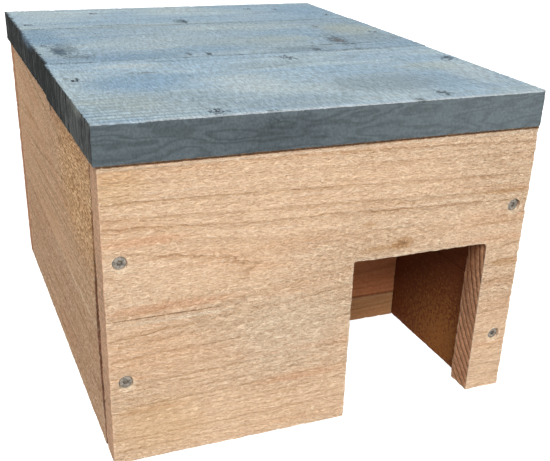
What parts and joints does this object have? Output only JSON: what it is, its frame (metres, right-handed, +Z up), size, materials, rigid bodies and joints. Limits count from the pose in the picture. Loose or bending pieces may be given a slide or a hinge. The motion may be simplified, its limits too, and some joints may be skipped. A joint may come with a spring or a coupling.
{
  "type": "wooden hedgehog house",
  "caption": "Open-bottomed garden shelter of rough-sawn boards for hedgehogs, with a low square entrance at one side of the front, an inner cross wall and a flat stained plank roof.",
  "frame": {"origin": "on the ground, under the middle of the roof", "axes": "+X to the right when facing the entrance, +Y from the entrance front to the back, +Z up"},
  "size_m": [0.357, 0.459, 0.268],
  "materials": {
    "raw_wood": "rough-sawn, untreated",
    "stained_wood": "rough plank with a thin blue-grey stain",
    "screw_steel": "zinc plated"
  },
  "bodies": {
    "root": {"back_board": "raw_wood", "back_screw_left_lower": "screw_steel", "back_screw_left_upper": "screw_steel", "back_screw_right_lower": "screw_steel", "back_screw_right_upper": "screw_steel", "front_board": "raw_wood", "front_screw_left_lower": "screw_steel", "front_screw_left_upper": "screw_steel", "front_screw_right_lower": "screw_steel", "front_screw_right_upper": "screw_steel", "left_lower_board": "raw_wood", "left_upper_board": "raw_wood", "partition_middle_board": "raw_wood", "partition_middle_board_screw": "screw_steel", "partition_strip": "raw_wood", "partition_strip_screw": "screw_steel", "partition_top_board": "raw_wood", "partition_top_board_screw": "screw_steel", "right_lower_board": "raw_wood", "right_upper_board": "raw_wood", "roof_back_plank": "stained_wood", "roof_front_plank": "stained_wood", "roof_middle_plank": "stained_wood", "roof_screw_back_plank_left": "screw_steel", "roof_screw_back_plank_right": "screw_steel", "roof_screw_back_wall_left": "screw_steel", "roof_screw_back_wall_right": "screw_steel", "roof_screw_front_plank_left": "screw_steel", "roof_screw_front_plank_right": "screw_steel", "roof_screw_front_wall_left": "screw_steel", "roof_screw_front_wall_right": "screw_steel", "roof_screw_middle_plank_left": "screw_steel", "roof_screw_middle_plank_right": "screw_steel", "roof_screw_partition": "screw_steel"}
  },
  "joints": []
}
